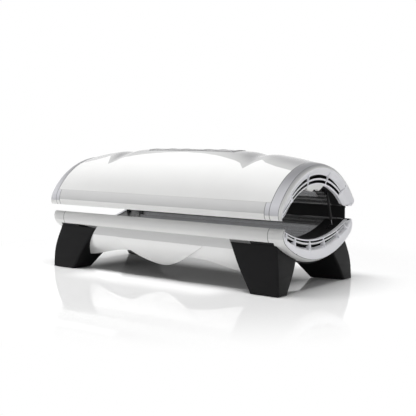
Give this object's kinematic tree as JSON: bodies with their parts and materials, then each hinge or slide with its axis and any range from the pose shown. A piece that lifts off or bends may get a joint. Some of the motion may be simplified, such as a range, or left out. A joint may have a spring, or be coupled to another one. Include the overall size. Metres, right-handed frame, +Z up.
{
  "type": "clamshell tanning bed",
  "caption": "Lie-down tanning bed with a curved lamp bed on two leg cradles and an arched lamp canopy hinged along the rear on gas springs",
  "frame": {"origin": "on the floor, under the centre of the bed", "axes": "+X along the bed towards the end with the air nozzle, +Y to the hinged rear, +Z up"},
  "size_m": [2.241, 1.0311, 0.9618],
  "materials": {
    "white_gloss": "polished",
    "grey_satin": "satin",
    "pale_satin": "satin",
    "charcoal": "satin",
    "black_sheet": "satin",
    "clear_sheet": "polished",
    "lamp_glass": "coated",
    "lampholder": "moulded",
    "reflector": "rolled",
    "frame_steel": "powder coated",
    "ballast": "painted",
    "fan_plastic": "moulded",
    "rubber": "moulded",
    "steel": "zinc plated",
    "rod_chrome": "polished",
    "filter_glass": "coloured",
    "button_green": "moulded",
    "button_red": "moulded",
    "button_grey": "moulded"
  },
  "bodies": {
    "base": {"bed_ballasts": "ballast", "bed_clear_sheet": "clear_sheet", "bed_end_frame_left": "grey_satin", "bed_end_frame_right": "grey_satin", "bed_end_ring_left": "pale_satin", "bed_end_ring_right": "pale_satin", "bed_fan_housings": "fan_plastic", "bed_frame": "frame_steel", "bed_lampholders": "lampholder", "bed_lamps": "lamp_glass", "bed_pan": "black_sheet", "bed_rail_front": "grey_satin", "bed_rail_rear": "grey_satin", "bed_reflector": "reflector", "cradle_bolts": "steel", "foot_pads": "rubber", "front_apron": "white_gloss", "front_shield": "white_gloss", "hinge_brackets": "black_sheet", "hinge_pins": "steel", "leg_cradle_left": "charcoal", "leg_cradle_right": "charcoal", "mains_gland": "charcoal", "rear_apron": "white_gloss", "rear_wall": "black_sheet", "strut_feet": "black_sheet"},
    "canopy": {"canopy_ballasts": "ballast", "canopy_clear_sheet": "clear_sheet", "canopy_end_frame_left": "grey_satin", "canopy_end_frame_right": "grey_satin", "canopy_end_ring_left": "pale_satin", "canopy_end_ring_right": "pale_satin", "canopy_fan_housings": "fan_plastic", "canopy_frame": "frame_steel", "canopy_lampholders": "lampholder", "canopy_lamps": "lamp_glass", "canopy_rail_front": "grey_satin", "canopy_rail_rear": "grey_satin", "canopy_reflector": "reflector", "canopy_shell": "white_gloss", "top_vent": "grey_satin", "hinge_leaves": "black_sheet", "strut_heads": "black_sheet", "face_tanner": "black_sheet", "face_tanner_glass": "filter_glass", "control_pod": "black_sheet", "air_nozzle": "pale_satin", "rear_seal": "rubber"},
    "bed_fan_rotor_left": {"bed_fan_rotor_left": "fan_plastic"},
    "bed_fan_rotor_right": {"bed_fan_rotor_right": "fan_plastic"},
    "canopy_fan_rotor_left": {"canopy_fan_rotor_left": "fan_plastic"},
    "canopy_fan_rotor_right": {"canopy_fan_rotor_right": "fan_plastic"},
    "strut_rod_left": {"strut_rod_left": "rod_chrome"},
    "strut_rod_right": {"strut_rod_right": "rod_chrome"},
    "strut_tube_left": {"strut_tube_left": "black_sheet"},
    "strut_tube_right": {"strut_tube_right": "black_sheet"},
    "button_face": {"button_face": "button_grey"},
    "button_fan": {"button_fan": "button_grey"},
    "button_start": {"button_start": "button_green"},
    "button_stop": {"button_stop": "button_red"}
  },
  "joints": [
    {"name": "canopy_hinge", "type": "hinge", "parent": "base", "child": "canopy", "pos_m": [0, 0.475, 0.487], "axis": [-1, 0, 0], "range_deg": [0, 45]},
    {"name": "strut_turn_left", "type": "hinge", "parent": "base", "child": "strut_rod_left", "pos_m": [-1.03, 0.313, 0.41277], "axis": [-1, 0, 0], "range_deg": [0, 34.6]},
    {"name": "strut_slide_left", "type": "slide", "parent": "strut_rod_left", "child": "strut_tube_left", "axis": [0, -0.2977, 0.9547], "range_m": [0, 0.1252]},
    {"name": "strut_turn_right", "type": "hinge", "parent": "base", "child": "strut_rod_right", "pos_m": [1.03, 0.313, 0.41277], "axis": [-1, 0, 0], "range_deg": [0, 34.6]},
    {"name": "strut_slide_right", "type": "slide", "parent": "strut_rod_right", "child": "strut_tube_right", "axis": [0, -0.2977, 0.9547], "range_m": [0, 0.1252]},
    {"name": "bed_fan_spin_left", "type": "hinge", "parent": "base", "child": "bed_fan_rotor_left", "pos_m": [-0.26, 0, 0.2139], "axis": [0, 0, 1], "continuous": true},
    {"name": "bed_fan_spin_right", "type": "hinge", "parent": "base", "child": "bed_fan_rotor_right", "pos_m": [0.26, 0, 0.2139], "axis": [0, 0, 1], "continuous": true},
    {"name": "canopy_fan_spin_left", "type": "hinge", "parent": "canopy", "child": "canopy_fan_rotor_left", "pos_m": [-0.26, 0, 0.8414], "axis": [0, 0, 1], "continuous": true},
    {"name": "canopy_fan_spin_right", "type": "hinge", "parent": "canopy", "child": "canopy_fan_rotor_right", "pos_m": [0.26, 0, 0.8414], "axis": [0, 0, 1], "continuous": true},
    {"name": "button_face_press", "type": "slide", "parent": "canopy", "child": "button_face", "axis": [0, 0, 1], "range_m": [0, 0.002], "stiffness_N_per_m": 300, "springref_m": -0.002},
    {"name": "button_fan_press", "type": "slide", "parent": "canopy", "child": "button_fan", "axis": [0, 0, 1], "range_m": [0, 0.002], "stiffness_N_per_m": 300, "springref_m": -0.002},
    {"name": "button_start_press", "type": "slide", "parent": "canopy", "child": "button_start", "axis": [0, 0, 1], "range_m": [0, 0.002], "stiffness_N_per_m": 300, "springref_m": -0.002},
    {"name": "button_stop_press", "type": "slide", "parent": "canopy", "child": "button_stop", "axis": [0, 0, 1], "range_m": [0, 0.002], "stiffness_N_per_m": 300, "springref_m": -0.002}
  ],
  "couplings": [
    {"joint": "strut_turn_left", "follows": "canopy_hinge", "ratio": 0.76535},
    {"joint": "strut_slide_left", "follows": "canopy_hinge", "m_per_rad": 0.15866},
    {"joint": "strut_turn_right", "follows": "canopy_hinge", "ratio": 0.76535},
    {"joint": "strut_slide_right", "follows": "canopy_hinge", "m_per_rad": 0.15866}
  ]
}
